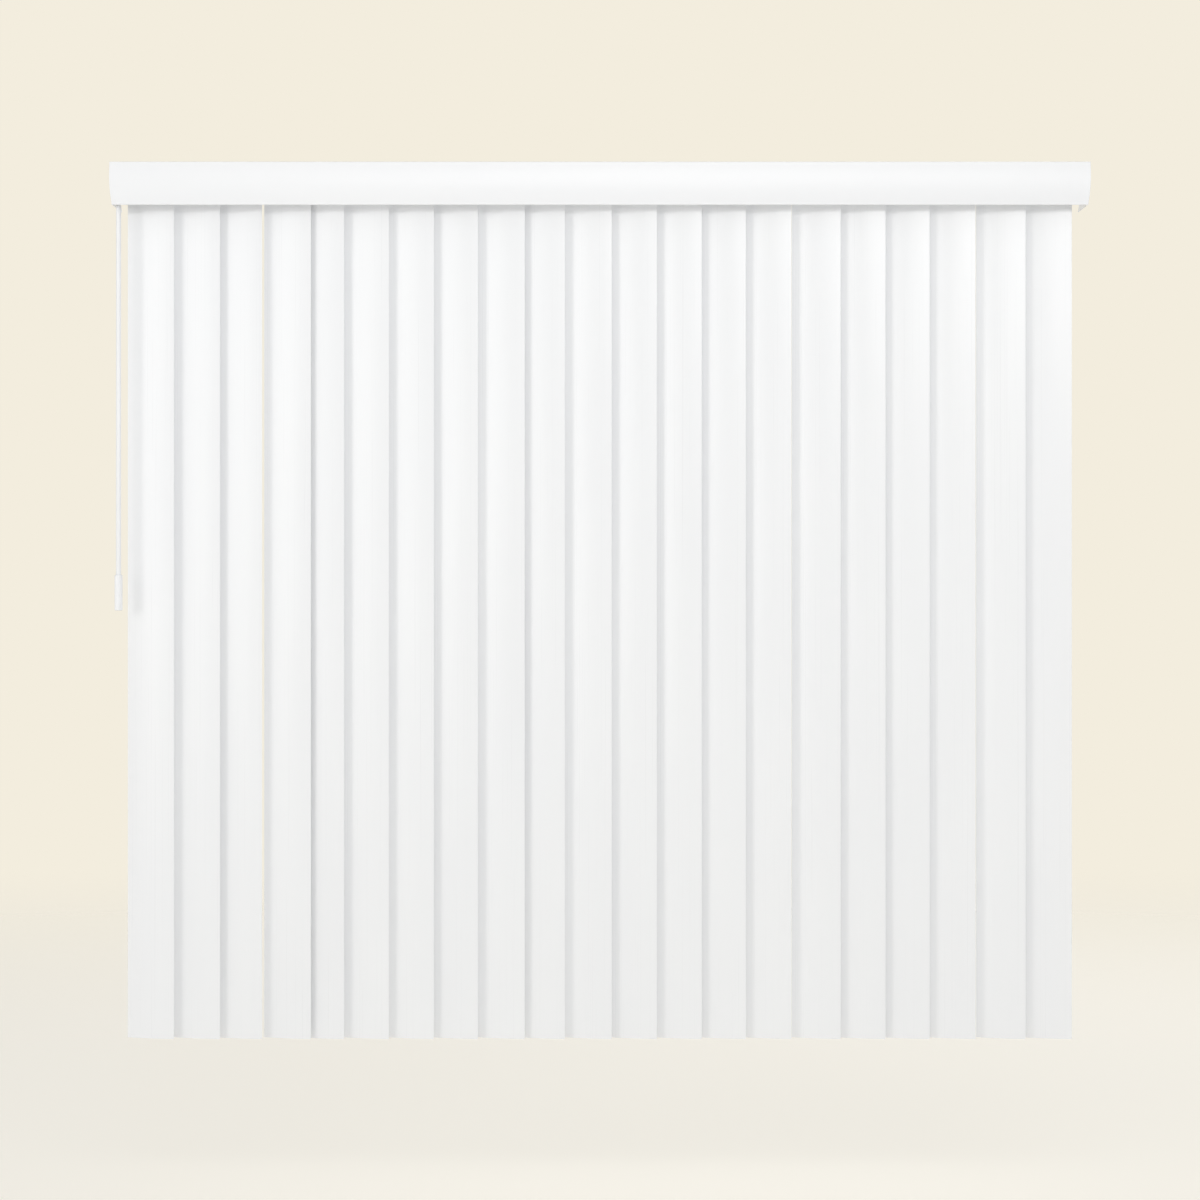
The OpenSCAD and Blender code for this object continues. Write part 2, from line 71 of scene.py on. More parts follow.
# %% [markdown]
# Sizes come from the frame where it can give them: the whole box gives the front and the width, the
# box of the valance's face gives its two edges, and each vane's hinge gives the upright line that
# the vane turns about. What a box can't tell, such as the bow of a vane or the wall of the valance,
# is written once, in the cell that first needs it.

# %% Read the measures
MM = 0.001
VANE_DROP = 10 * MM

face_low, face_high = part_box("valance_face")
front_y = frame_box[0].y
half_width = frame_box[1].x
vane_axes = {}
for joint in frame["joints"]:
    if joint["child"].startswith("vane_"):
        vane_axes[joint["child"]] = Vector(joint["pos_m"])
vane_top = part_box("headrail")[0].z - VANE_DROP
vane_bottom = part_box("vane_01")[0].z
print("vanes:", len(vane_axes), "each", round(vane_top - vane_bottom, 3), "m long")
print("valance:", round(2 * half_width, 3), "m wide, front at y =", round(front_y, 3))

# %% [markdown]
# Almost every finish here is a white plastic or a white coat on metal, so what tells them apart is
# small: the gloss, the fine lines that a die leaves along an extrusion, the slight waviness of a
# thin sheet. Each of these is a noise on Object coordinates, stretched along the piece. So the first
# helpers make a plain finish, and a noise with its own fineness along each axis.

# %% Helpers for plain finishes and noise
def linear(rgb):
    """A screen colour, 0 to 255, as the linear colour that a shader takes."""
    return [((v / 255 + 0.055) / 1.055) ** 2.4 for v in rgb] + [1.0]


def new_finish(name, colour, roughness, specular=0.5):
    """A material with one Principled shader and the given plain colour."""
    material = bpy.data.materials.new(name)
    material.use_nodes = True
    shader = material.node_tree.nodes["Principled BSDF"]
    shader.inputs["Base Color"].default_value = linear(colour)
    shader.inputs["Roughness"].default_value = roughness
    shader.inputs["Specular IOR Level"].default_value = specular
    return material, shader


def noise_on(material, cells_per_metre, detail=3.0):
    """Noise on Object coordinates, with its own number of cells per metre along X, Y and Z."""
    tree = material.node_tree
    place = tree.nodes.new("ShaderNodeTexCoord")
    stretch = tree.nodes.new("ShaderNodeMapping")
    stretch.inputs["Scale"].default_value = cells_per_metre
    noise = tree.nodes.new("ShaderNodeTexNoise")
    noise.inputs["Scale"].default_value = 1.0
    noise.inputs["Detail"].default_value = detail
    tree.links.new(place.outputs["Object"], stretch.inputs["Vector"])
    tree.links.new(stretch.outputs["Vector"], noise.inputs["Vector"])
    return noise.outputs["Fac"]


print("helpers for plain finishes and noise are ready")

# %% [markdown]
# On real plastic and metal the colour, the gloss and the surface are never quite even. Painted
# textures could show this, but a noise has no seams and fits a piece of any length. So three small
# helpers join a noise to one input of the shader each: to the colour, to the roughness, or through a
# bump to the normal.

# %% Helpers for uneven finishes
def vary_colour(material, shader, noise, first, second):
    """Mixes two close colours by the noise."""
    tree = material.node_tree
    mix = tree.nodes.new("ShaderNodeMix")
    mix.data_type = "RGBA"
    colour_a, colour_b = [s for s in mix.inputs if s.type == "RGBA"]
    colour_a.default_value = linear(first)
    colour_b.default_value = linear(second)
    tree.links.new(noise, mix.inputs["Factor"])
    result = [s for s in mix.outputs if s.type == "RGBA"][0]
    tree.links.new(result, shader.inputs["Base Color"])


def vary_roughness(material, shader, noise, smooth, rough):
    """Spreads the roughness between two values by the noise."""
    tree = material.node_tree
    spread = tree.nodes.new("ShaderNodeMapRange")
    spread.inputs["To Min"].default_value = smooth
    spread.inputs["To Max"].default_value = rough
    tree.links.new(noise, spread.inputs["Value"])
    tree.links.new(spread.outputs["Result"], shader.inputs["Roughness"])


def raise_surface(material, shader, noise, height):
    """Adds a bump of the given height in metres, on top of any bump that is there."""
    tree = material.node_tree
    bump = tree.nodes.new("ShaderNodeBump")
    bump.inputs["Strength"].default_value = 1.0
    bump.inputs["Distance"].default_value = height
    tree.links.new(noise, bump.inputs["Height"])
    normal = shader.inputs["Normal"]
    if normal.is_linked:
        tree.links.new(normal.links[0].from_socket, bump.inputs["Normal"])
    tree.links.new(bump.outputs["Normal"], normal)


print("helpers for colour, roughness and surface are ready")

# %% [markdown]
# The vanes are extruded PVC, about a millimetre thick: satin, a little cool, with very fine upright
# die lines and a slow waviness along their length that gives each one its own soft lights. The
# valance is the same plastic, extruded along X, so its lines run level. The number of noise cells
# in a metre is large across the die lines and small along them.

# %% Vane and valance finishes
DIE_LINES = 700
ALONG = 1.5

vane_finish, shader = new_finish("vane_pvc", (245, 246, 248), 0.28)
waves = noise_on(vane_finish, (9, 9, 2.2), detail=1.0)
lines = noise_on(vane_finish, (DIE_LINES, DIE_LINES, ALONG))
vary_colour(vane_finish, shader, waves, (243, 244, 246), (247, 248, 249))
vary_roughness(vane_finish, shader, lines, 0.26, 0.3)
raise_surface(vane_finish, shader, waves, 2.4 * MM)
raise_surface(vane_finish, shader, lines, 0.004 * MM)

valance_finish, shader = new_finish("valance_pvc", (244, 245, 247), 0.3)
waves = noise_on(valance_finish, (1.6, 12, 12), detail=1.0)
lines = noise_on(valance_finish, (ALONG, DIE_LINES, DIE_LINES))
vary_colour(valance_finish, shader, waves, (242, 243, 245), (246, 247, 248))
vary_roughness(valance_finish, shader, lines, 0.25, 0.36)
raise_surface(valance_finish, shader, lines, 0.01 * MM)
print("finishes:", vane_finish.name, valance_finish.name)

# %% [markdown]
# Behind the valance sit the working pieces. The rail is aluminium with a baked white coat, and the
# brackets are steel with a thicker, pebbled powder coat. The tilt rod is bare drawn aluminium,
# brushed along its length. A coat hides its metal, so only the rod's shader is metallic.

# %% Finishes of the metal pieces
rail_finish, shader = new_finish("rail_coat", (233, 235, 237), 0.36)
lines = noise_on(rail_finish, (ALONG, DIE_LINES, DIE_LINES))
vary_colour(rail_finish, shader, lines, (230, 232, 234), (236, 238, 240))
vary_roughness(rail_finish, shader, lines, 0.3, 0.42)
raise_surface(rail_finish, shader, lines, 0.01 * MM)

bracket_finish, shader = new_finish("bracket_powder_coat", (229, 231, 233), 0.5)
pebbles = noise_on(bracket_finish, (520, 520, 520), detail=1.0)
vary_colour(bracket_finish, shader, pebbles, (225, 227, 229), (233, 235, 237))
vary_roughness(bracket_finish, shader, pebbles, 0.42, 0.58)
raise_surface(bracket_finish, shader, pebbles, 0.12 * MM)

rod_finish, shader = new_finish("drawn_aluminium", (196, 199, 203), 0.3)
strokes = noise_on(rod_finish, (3, 1400, 1400))
vary_colour(rod_finish, shader, strokes, (188, 191, 196), (205, 208, 211))
vary_roughness(rod_finish, shader, strokes, 0.22, 0.38)
raise_surface(rod_finish, shader, strokes, 0.01 * MM)
shader.inputs["Metallic"].default_value = 1.0
print("finishes:", rail_finish.name, bracket_finish.name, rod_finish.name)

# %% [markdown]
# Carriers, caps and hooks are moulded, with the faint mottle of a nylon surface. The clips are milky,
# so a part of the light passes through them. The wand is the glossiest of the plastics, and its fine
# lines run along it.

# %% Finishes of the moulded pieces and the wand
moulding_finish, shader = new_finish("moulded_nylon", (236, 237, 237), 0.45)
mottle = noise_on(moulding_finish, (260, 260, 260))
vary_colour(moulding_finish, shader, mottle, (232, 233, 233), (240, 241, 241))
vary_roughness(moulding_finish, shader, mottle, 0.38, 0.54)
raise_surface(moulding_finish, shader, mottle, 0.03 * MM)

clip_finish, shader = new_finish("milky_clip", (226, 230, 234), 0.3)
cloud = noise_on(clip_finish, (120, 120, 120))
vary_colour(clip_finish, shader, cloud, (221, 226, 231), (231, 235, 238))
vary_roughness(clip_finish, shader, cloud, 0.22, 0.36)
shader.inputs["Transmission Weight"].default_value = 0.35
shader.inputs["IOR"].default_value = 1.49

wand_finish, shader = new_finish("wand_gloss", (246, 247, 248), 0.22)
lines = noise_on(wand_finish, (900, 900, 2))
vary_colour(wand_finish, shader, lines, (243, 244, 246), (248, 249, 250))
vary_roughness(wand_finish, shader, lines, 0.17, 0.28)
raise_surface(wand_finish, shader, lines, 0.006 * MM)
print("finishes:", len(bpy.data.materials), "materials in the file")

# %% [markdown]
# A vane is one extruded strip, cut to length, with a punched slot near its top. A modelled plane
# with Solidify would do for one of them. There are twenty-one, and their shape follows a rule, so
# a Geometry Nodes tree makes them: a flat outline with rounded corners is bent to an arc, swept up a
# straight line, and a slot is cut through it. The sizes are the tree's named inputs.

# %% Helpers for the node tree
def feed(tree, socket, value):
    """Links a socket to another one, or sets its value."""
    if isinstance(value, bpy.types.NodeSocket):
        tree.links.new(value, socket)
    else:
        socket.default_value = value


def add_node(tree, kind, settings=None, **inputs):
    """Adds a node, sets its options and feeds its inputs, named with _ for a space."""
    node = tree.nodes.new(kind)
    for option, value in (settings or {}).items():
        setattr(node, option, value)
    for name, value in inputs.items():
        feed(tree, node.inputs[name.replace("_", " ")], value)
    return node


def calculate(tree, operation, first, second=0.0):
    """The output of one Math node."""
    node = add_node(tree, "ShaderNodeMath", {"operation": operation})
    feed(tree, node.inputs[0], first)
    feed(tree, node.inputs[1], second)
    return node.outputs[0]


def square(tree, value):
    """The output of one Math node that squares its input."""
    return calculate(tree, "POWER", value, 2.0)


def vector(tree, x=0.0, y=0.0, z=0.0):
    """The output of one Combine XYZ node."""
    return add_node(tree, "ShaderNodeCombineXYZ", X=x, Y=y, Z=z).outputs["Vector"]


print("helpers for the node tree are ready")

# %% [markdown]
# The outline starts as a thin rectangle with filleted corners. Only its long sides need more
# points to bend, so the cuts are a field: each stretch of the outline gets as many as fit in it.
# The bend is the rule of a circular arc: a point at the depth v in the strip lies on a circle of
# radius R - v, so both faces are true arcs about one centre, as they are when a die forms them.

# %% Outline of a vane
CORNER_STEPS = 3


def rounded_rectangle(tree, width, height, radius):
    """A closed outline in the XY plane with rounded corners."""
    flat = add_node(tree, "GeometryNodeCurvePrimitiveQuadrilateral", Width=width, Height=height)
    return add_node(
        tree, "GeometryNodeFilletCurve", {"mode": "POLY"},
        Curve=flat.outputs["Curve"], Count=CORNER_STEPS, Radius=radius, Limit_Radius=True,
    ).outputs["Curve"]


def cut_to_step(tree, curve, step):
    """The same outline with cuts in each stretch that is longer than the step."""
    position = add_node(tree, "GeometryNodeInputPosition").outputs["Position"]
    following = add_node(tree, "GeometryNodeOffsetPointInCurve", Offset=1)
    own_index = add_node(tree, "GeometryNodeInputIndex").outputs["Index"]
    feed(tree, following.inputs["Point Index"], own_index)
    ahead = add_node(
        tree, "GeometryNodeFieldAtIndex", {"data_type": "FLOAT_VECTOR"},
        Value=position, Index=following.outputs["Point Index"],
    )
    gap = add_node(tree, "ShaderNodeVectorMath", {"operation": "DISTANCE"})
    feed(tree, gap.inputs[0], position)
    feed(tree, gap.inputs[1], ahead.outputs["Value"])
    cuts = calculate(tree, "FLOOR", calculate(tree, "DIVIDE", gap.outputs["Value"], step))
    return add_node(tree, "GeometryNodeSubdivideCurve", Curve=curve, Cuts=cuts).outputs["Curve"]


def bend(tree, curve, width, bow):
    """The outline bent about a centre on +Y, so that its middle is its foremost point."""
    half = calculate(tree, "MULTIPLY", width, 0.5)
    squares = calculate(tree, "ADD", square(tree, half), square(tree, bow))
    radius = calculate(tree, "DIVIDE", squares, calculate(tree, "MULTIPLY", bow, 2.0))
    position = add_node(tree, "GeometryNodeInputPosition").outputs["Position"]
    parts = add_node(tree, "ShaderNodeSeparateXYZ", Vector=position).outputs
    ring = calculate(tree, "SUBTRACT", radius, parts["Y"])
    rise = calculate(tree, "SUBTRACT", square(tree, ring), square(tree, parts["X"]))
    depth = calculate(tree, "SUBTRACT", radius, calculate(tree, "SQRT", rise))
    bent = vector(tree, x=parts["X"], y=depth)
    moved = add_node(tree, "GeometryNodeSetPosition", Geometry=curve, Position=bent)
    return moved.outputs["Geometry"]


print("an outline has", 4 * (CORNER_STEPS + 1), "points before its long sides are cut")

# %% [markdown]
# Curve to Mesh makes a straight bar of an outline. The blade is such a bar, and so is the prism that
# punches its slot. A real punch goes right through the sheet, so the prism is a few thicknesses
# deep, and it is placed by its distance from the top of the blade.

# %% Sweep and slot of a vane
PUNCH_REACH = 4.0


def sweep_outline(tree, start, end, rows, outline):
    """A closed bar of the outline along a straight line."""
    line = add_node(tree, "GeometryNodeCurvePrimitiveLine", Start=start, End=end)
    path = add_node(tree, "GeometryNodeResampleCurve", Curve=line.outputs["Curve"], Count=rows)
    bar = add_node(tree, "GeometryNodeCurveToMesh", Curve=path.outputs["Curve"], Fill_Caps=True)
    feed(tree, bar.inputs["Profile Curve"], outline)
    return bar.outputs["Mesh"]


def slot_prism(tree, size):
    """The prism that punches the slot, at its height in a blade that starts at zero."""
    outline = rounded_rectangle(tree, size["Slot Width"], size["Slot Height"], size["Slot Corner"])
    reach = calculate(tree, "MULTIPLY", size["Thickness"], PUNCH_REACH)
    back = vector(tree, y=calculate(tree, "MULTIPLY", reach, -1.0))
    prism = sweep_outline(tree, back, vector(tree, y=reach), rows=2, outline=outline)
    half_slot = calculate(tree, "MULTIPLY", size["Slot Height"], 0.5)
    middle = calculate(tree, "ADD", size["Slot Drop"], half_slot)
    lift = vector(tree, z=calculate(tree, "SUBTRACT", size["Length"], middle))
    return add_node(tree, "GeometryNodeTransform", Geometry=prism, Translation=lift).outputs["Geometry"]


print("the punch reaches", PUNCH_REACH, "thicknesses to each side")

# %% [markdown]
# The tree sweeps the outline up a straight line, cuts the slot with the prism, turns the blade about
# its hinge and puts it in place. It ends in Realize Instances and Set Material, so that the result
# is a plain mesh with its finish.

# %% Tree of a vane
SIZES = ("Width", "Thickness", "Bow", "Length", "Corner", "Step",
         "Slot Width", "Slot Height", "Slot Corner", "Slot Drop", "Turn")


def vane_tree():
    """The node group that makes one vane blade, and the identifiers of its inputs."""
    tree = bpy.data.node_groups.new("vane_blade", "GeometryNodeTree")
    kinds = {name: "NodeSocketFloat" for name in SIZES}
    kinds.update({"Rows": "NodeSocketInt", "Place": "NodeSocketVector", "Finish": "NodeSocketMaterial"})
    names = {}
    for name, kind in kinds.items():
        names[name] = tree.interface.new_socket(name, in_out="INPUT", socket_type=kind).identifier
    tree.interface.new_socket("Blade", in_out="OUTPUT", socket_type="NodeSocketGeometry")
    size = tree.nodes.new("NodeGroupInput").outputs

    flat = rounded_rectangle(tree, size["Width"], size["Thickness"], size["Corner"])
    bowed = bend(tree, cut_to_step(tree, flat, size["Step"]), size["Width"], size["Bow"])
    top = vector(tree, z=size["Length"])
    strip = sweep_outline(tree, (0, 0, 0), top, size["Rows"], bowed)
    punched = add_node(tree, "GeometryNodeMeshBoolean", {"operation": "DIFFERENCE", "solver": "EXACT"})
    feed(tree, punched.inputs["Mesh 1"], strip)
    feed(tree, punched.inputs["Mesh 2"], slot_prism(tree, size))

    turn = add_node(tree, "FunctionNodeEulerToRotation", Euler=vector(tree, z=size["Turn"]))
    hung = add_node(
        tree, "GeometryNodeTransform", Geometry=punched.outputs["Mesh"],
        Translation=size["Place"], Rotation=turn.outputs["Rotation"],
    )
    plain = add_node(tree, "GeometryNodeRealizeInstances", Geometry=hung.outputs["Geometry"])
    dressed = add_node(tree, "GeometryNodeSetMaterial", Geometry=plain.outputs["Geometry"])
    feed(tree, dressed.inputs["Material"], size["Finish"])
    output = tree.nodes.new("NodeGroupOutput")
    tree.links.new(dressed.outputs["Geometry"], output.inputs["Blade"])
    return tree, names


blade_tree, blade_inputs = vane_tree()
print("vane tree:", len(blade_tree.nodes), "nodes,", len(blade_inputs), "inputs")

# %% [markdown]
# A thin strip with small rounded edges shades badly when all its faces count the same, because the
# narrow ones bend the normals of the wide ones. Weighted normals let the wide faces decide, so that
# they stay smooth up to their edges.

# %% Helpers for smooth shading
EDGE_ANGLE = math.radians(45)


def smooth_faces(mesh):
    """Smooth shading, with sharp edges kept crisp."""
    mesh.shade_smooth()
    mesh.set_sharp_from_angle(angle=EDGE_ANGLE)


def even_normals(piece):
    """Lets the large faces decide the shading at their edges."""
    weights = piece.modifiers.new("Even normals", "WEIGHTED_NORMAL")
    weights.keep_sharp = True


print("edges over", round(math.degrees(EDGE_ANGLE)), "degrees stay crisp")

# %% [markdown]
# The tree runs once for each vane, because each one turns on its own hinge and so is a piece of
# its own. The modifier's inputs are set by their identifiers, the evaluated result is kept as a
# plain mesh, and the modifier is removed. The turn is the closed pose, in which each right edge
# stands in front.

# %% Hang the vanes
BLADE_SIZES = {
    "Width": 89 * MM,
    "Thickness": 0.9 * MM,
    "Bow": 3.9 * MM,
    "Length": vane_top - vane_bottom,
    "Corner": 0.36 * MM,
    "Step": 2.6 * MM,
    "Rows": 9,
    "Slot Width": 12 * MM,
    "Slot Height": 5 * MM,
    "Slot Corner": 1.2 * MM,
    "Slot Drop": 5.4 * MM,
    "Turn": math.radians(-16),
}


def hang_blade(name, axis):
    """One vane blade as a plain mesh that rides on its vane's body."""
    piece = bpy.data.objects.new(f"{name}_blade", bpy.data.meshes.new(f"{name}_blank"))
    scene.collection.objects.link(piece)
    modifier = piece.modifiers.new("Blade", "NODES")
    modifier.node_group = blade_tree
    for title, value in BLADE_SIZES.items():
        modifier[blade_inputs[title]] = value
    modifier[blade_inputs["Place"]] = (axis.x, axis.y, vane_bottom)
    modifier[blade_inputs["Finish"]] = vane_finish
    graph = bpy.context.evaluated_depsgraph_get()
    mesh = bpy.data.meshes.new_from_object(piece.evaluated_get(graph))
    piece.modifiers.remove(modifier)
    piece.data = mesh
    smooth_faces(mesh)
    even_normals(piece)
    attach(piece, name)
    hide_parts(name)
    return piece


blades = [hang_blade(name, axis) for name, axis in sorted(vane_axes.items())]
print("vanes:", len(blades), "blades of", len(blades[0].data.polygons), "faces")

# %% [markdown]
# Moulded and pressed pieces never have knife edges: a small radius catches a line of light along
# each one. The frame's meshes are exact but sharp, and made of loose triangles. So each rigid piece
# is a merged copy of its node, with flat areas joined into single faces, and a Bevel modifier
# rounds its edges. The copy stands for the node.

# %% Helpers for softened copies
MERGE_DISTANCE = 0.001 * MM
FLAT_ANGLE = math.radians(0.5)
ROUNDED_ANGLE = math.radians(40)
ROUNDING_STEPS = 2


def merged_copy(node):
    """The node's mesh with its doubles merged, as a bmesh."""
    bm = bmesh.new()
    bm.from_mesh(frame["nodes"][node].data)
    bmesh.ops.remove_doubles(bm, verts=bm.verts, dist=MERGE_DISTANCE)
    return bm


def soften(bm, name, finish, radius):
    """A piece from the bmesh, with its flat areas joined and its edges rounded."""
    bmesh.ops.dissolve_limit(bm, angle_limit=FLAT_ANGLE, verts=bm.verts, edges=bm.edges)
    mesh = bpy.data.meshes.new(name)
    bm.to_mesh(mesh)
    bm.free()
    mesh.materials.append(finish)
    mesh.shade_smooth()
    piece = bpy.data.objects.new(name, mesh)
    scene.collection.objects.link(piece)
    rounding = piece.modifiers.new("Soft edges", "BEVEL")
    rounding.limit_method = "ANGLE"
    rounding.angle_limit = ROUNDED_ANGLE
    rounding.width = radius
    rounding.segments = ROUNDING_STEPS
    rounding.harden_normals = True
    return piece


print("softened copies round edges over", round(math.degrees(ROUNDED_ANGLE)), "degrees")

# %% [markdown]
# A vane's hook has a shaft and a gear wheel above, and two jaws and a lug that grip the slot below.
# In the frame the hook and the blade are two solids of one node. The blade has been made
# anew, so only the hook is taken: the group of joined vertices that stays near the rail.

# %% Hooks of the vanes
HOOK_REACH = 50 * MM
HOOK_ROUNDING = 0.25 * MM


def keep_upper_group(bm, floor_z):
    """Deletes every joined group of vertices that reaches below the given height."""
    waiting = set(bm.verts)
    while waiting:
        group = set()
        edge_of_group = [next(iter(waiting))]
        while edge_of_group:
            vert = edge_of_group.pop()
            if vert in group:
                continue
            group.add(vert)
            edge_of_group += [e.other_vert(vert) for e in vert.link_edges]
        waiting -= group
        if min(v.co.z for v in group) < floor_z:
            bmesh.ops.delete(bm, geom=list(group), context="VERTS")


hooks = []
for name in sorted(vane_axes):
    copy = merged_copy(name)
    keep_upper_group(copy, vane_top - HOOK_REACH)
    hook = soften(copy, f"{name}_hook", moulding_finish, HOOK_ROUNDING)
    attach(hook, name)
    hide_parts(name)
    hooks.append(hook)
print("hooks:", len(hooks), "of", len(hooks[0].data.polygons), "faces before rounding")

# %% [markdown]
# The other rigid pieces are all made the same way, so one list says which finish, which slot of
# the record and how many millimetres of rounding each of them gets. The wand's six edges are the
# roundest.

# %% Softened rigid pieces
body_of = {}
for body, members in frame["record"]["behaviour"]["bodies"].items():
    for member in members:
        body_of[member] = body

RIGID = [("headrail", rail_finish, "rail", 0.3)]
RIGID += [(f"end_cap_{side}", moulding_finish, "moulding", 0.5) for side in ("left", "right")]
RIGID += [(f"bracket_{place}", bracket_finish, "bracket", 0.4) for place in ("left", "middle", "right")]
RIGID += [(f"valance_{piece}", clip_finish, "clip", 0.3) for piece in ("corners", "clips")]
WAND_MOULDINGS = ("carrier", "stem", "link", "cap")
RIGID += [(f"wand_{piece}", moulding_finish, "moulding", 0.3) for piece in WAND_MOULDINGS]
RIGID += [("wand_rod", wand_finish, "wand", 0.6), ("wand_grip", wand_finish, "wand", 0.3)]
CARRIERS = sorted(node for node in body_of if node.startswith("carrier_"))
RIGID += [(node, moulding_finish, "moulding", 0.2) for node in CARRIERS]

for node, finish, slot, radius in RIGID:
    piece = soften(merged_copy(node), f"{node}_soft", finish, radius * MM)
    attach(piece, body_of[node])
    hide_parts(node)
print("softened:", len(RIGID), "rigid pieces")

# %% [markdown]
# The tilt rod already has its six flutes in the frame and lies inside the rail, so the node itself
# stays, and only its finish is changed.

# %% Finish of the tilt rod
rod = frame["nodes"]["tilt_rod"]
rod.material_slots[0].material = rod_finish
print("tilt rod:", round(rod.dimensions.x, 3), "m long, finish", rod_finish.name)

# %% [markdown]
# The valance is what the eye meets first, and its long soft highlight needs a truly smooth arc. So
# its section is drawn anew. Points are given as the distance outwards from the foremost line and the
# height above the lower edge. The wall lies between two arcs about one centre, and a bead rounds
# each of its edges.

# %% Wall and beads of the valance
VALANCE_WALL = 1.8 * MM
CREST_DROP = 23 * MM
VALANCE_FALL = 4.4 * MM
BEAD_RADIUS = 1.4 * MM
BEAD_STEPS = 14

valance_height = face_high.z - face_low.z
crest = valance_height - CREST_DROP
face_radius = (crest ** 2 + VALANCE_FALL ** 2) / (2 * VALANCE_FALL)


def wall_at(height, depth):
    """Outward place of the wall at a height; depth is 0 on the front and the wall on the back."""
    return math.sqrt((face_radius - depth) ** 2 - (height - crest) ** 2) - face_radius


def steps(start, end, count):
    """Evenly spaced values, both ends included."""
    return [start + (end - start) * k / count for k in range(count + 1)]


def bead(height, start, end):
    """Arc round an edge: angles in degrees from straight outwards, turning towards the top."""
    centre = Vector((wall_at(height, VALANCE_WALL / 2), height))
    out = (centre - Vector((-face_radius, crest))).normalized()
    up = Vector((-out.y, out.x))
    angles = [math.radians(a) for a in steps(start, end, BEAD_STEPS)]
    return [centre + BEAD_RADIUS * (math.cos(a) * out + math.sin(a) * up) for a in angles]


print("valance:", round(valance_height, 3), "m high, face radius", round(face_radius, 3), "m")

# %% [markdown]
# On its back the strip has two hooked ribs, which the clips hold. With them the section becomes one
# closed outline: the front arc, the bead round the top edge, the back arc with its ribs, and the
# bead round the lower edge. The returns have no lower rib, because the wand passes there.

# %% Ribs and outline of the valance
RIB_INSET = 6 * MM
RIB_REACH = 5 * MM
RIB_WALL = 1.2 * MM
RIB_TIP = 3 * MM
ARC_STEPS = 24


def rib(height, way):
    """Hooked rib on the back, from its upper root to its lower one; its tip turns up or down."""
    above = height + RIB_WALL / 2
    below = height - RIB_WALL / 2
    inner = wall_at(height, VALANCE_WALL / 2) - RIB_REACH
    near = inner + RIB_WALL
    root = [Vector((wall_at(h, VALANCE_WALL), h)) for h in (above, below)]
    if way > 0:
        hook = [(near, above), (near, below + RIB_TIP), (inner, below + RIB_TIP), (inner, below)]
    else:
        hook = [(inner, above), (inner, above - RIB_TIP), (near, above - RIB_TIP), (near, below)]
    return [root[0]] + [Vector(p) for p in hook] + [root[1]]


def back_arc(top, bottom):
    """Points inside a stretch of the back, without its ends."""
    return [Vector((wall_at(h, VALANCE_WALL), h)) for h in steps(top, bottom, ARC_STEPS)[1:-1]]


def valance_outline(with_lower_rib):
    """The whole section as one closed outline, counter-clockwise."""
    span = math.degrees(math.acos(VALANCE_WALL / 2 / BEAD_RADIUS))
    lower = bead(BEAD_RADIUS, 180 - span, 360 + span)
    upper = bead(valance_height - BEAD_RADIUS, -span, 180 + span)
    front = [Vector((wall_at(h, 0), h)) for h in steps(lower[-1].y, upper[0].y, ARC_STEPS)[1:-1]]
    back = rib(valance_height - RIB_INSET, -1)
    if with_lower_rib:
        low_rib = rib(RIB_INSET, 1)
        back += back_arc(back[-1].y, low_rib[0].y) + low_rib
    else:
        back += back_arc(back[-1].y, lower[0].y)
    return front + upper + back + lower


face_outline = valance_outline(with_lower_rib=True)
return_outline = valance_outline(with_lower_rib=False)
print("valance outlines:", len(face_outline), "and", len(return_outline), "points")

# %% [markdown]
# An extrusion has the same section all along. A curve with a profile would give it square ends, but
# these ends are mitred. So a helper lays copies of the outline along the strip, asks a rule for the
# place of each point, and closes the skin between them.

# %% Helper for extruded strips
def sweep_piece(name, outline, place, stations):
    """A closed skin through copies of the outline; place gives a point at a share of the length."""
    bm = bmesh.new()
    rings = []
    for share in steps(0, 1, stations):
        rings.append([bm.verts.new(place(p.x, p.y, share)) for p in outline])
    for near, far in zip(rings, rings[1:]):
        for k in range(len(outline)):
            bm.faces.new((near[k - 1], near[k], far[k], far[k - 1]))
    bm.faces.new(rings[0])
    bm.faces.new(rings[-1])
    bmesh.ops.recalc_face_normals(bm, faces=bm.faces)
    mesh = bpy.data.meshes.new(name)
    bm.to_mesh(mesh)
    bm.free()
    mesh.materials.append(valance_finish)
    smooth_faces(mesh)
    piece = bpy.data.objects.new(name, mesh)
    scene.collection.objects.link(piece)
    even_normals(piece)
    return piece


print("extruded strips get the finish", valance_finish.name)

# %% [markdown]
# The face runs along X and the two returns run back to the wall along Y. All three are cut at 45
# degrees where they meet. The rules for their points make the mitres: a point that lies further back
# simply ends nearer the middle. A hair of room is left at each mitre, which gives the fine seam that
# such a corner shows.

# %% Face and returns of the valance
SEAM = 0.12 * MM
FACE_STATIONS = 24
RETURN_STATIONS = 4


def on_face(out, height, share):
    """A point of the face, whose ends follow the mitres."""
    end = half_width + out - SEAM
    return Vector((end * (2 * share - 1), front_y - out, face_low.z + height))


def on_return(side):
    """The same for a return on the given side, from its mitre to the wall."""
    def place(out, height, share):
        start = front_y - out + SEAM
        return Vector((side * (half_width + out), start * (1 - share), face_low.z + height))
    return place


strips = {"valance_face": sweep_piece("valance_face_strip", face_outline, on_face, FACE_STATIONS)}
for side, word in ((-1, "left"), (1, "right")):
    node = f"valance_return_{word}"
    strips[node] = sweep_piece(f"{node}_strip", return_outline, on_return(side), RETURN_STATIONS)
for node, strip in strips.items():
    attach(strip, body_of[node])
    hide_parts(node)
print("valance:", [len(s.data.polygons) for s in strips.values()], "faces")

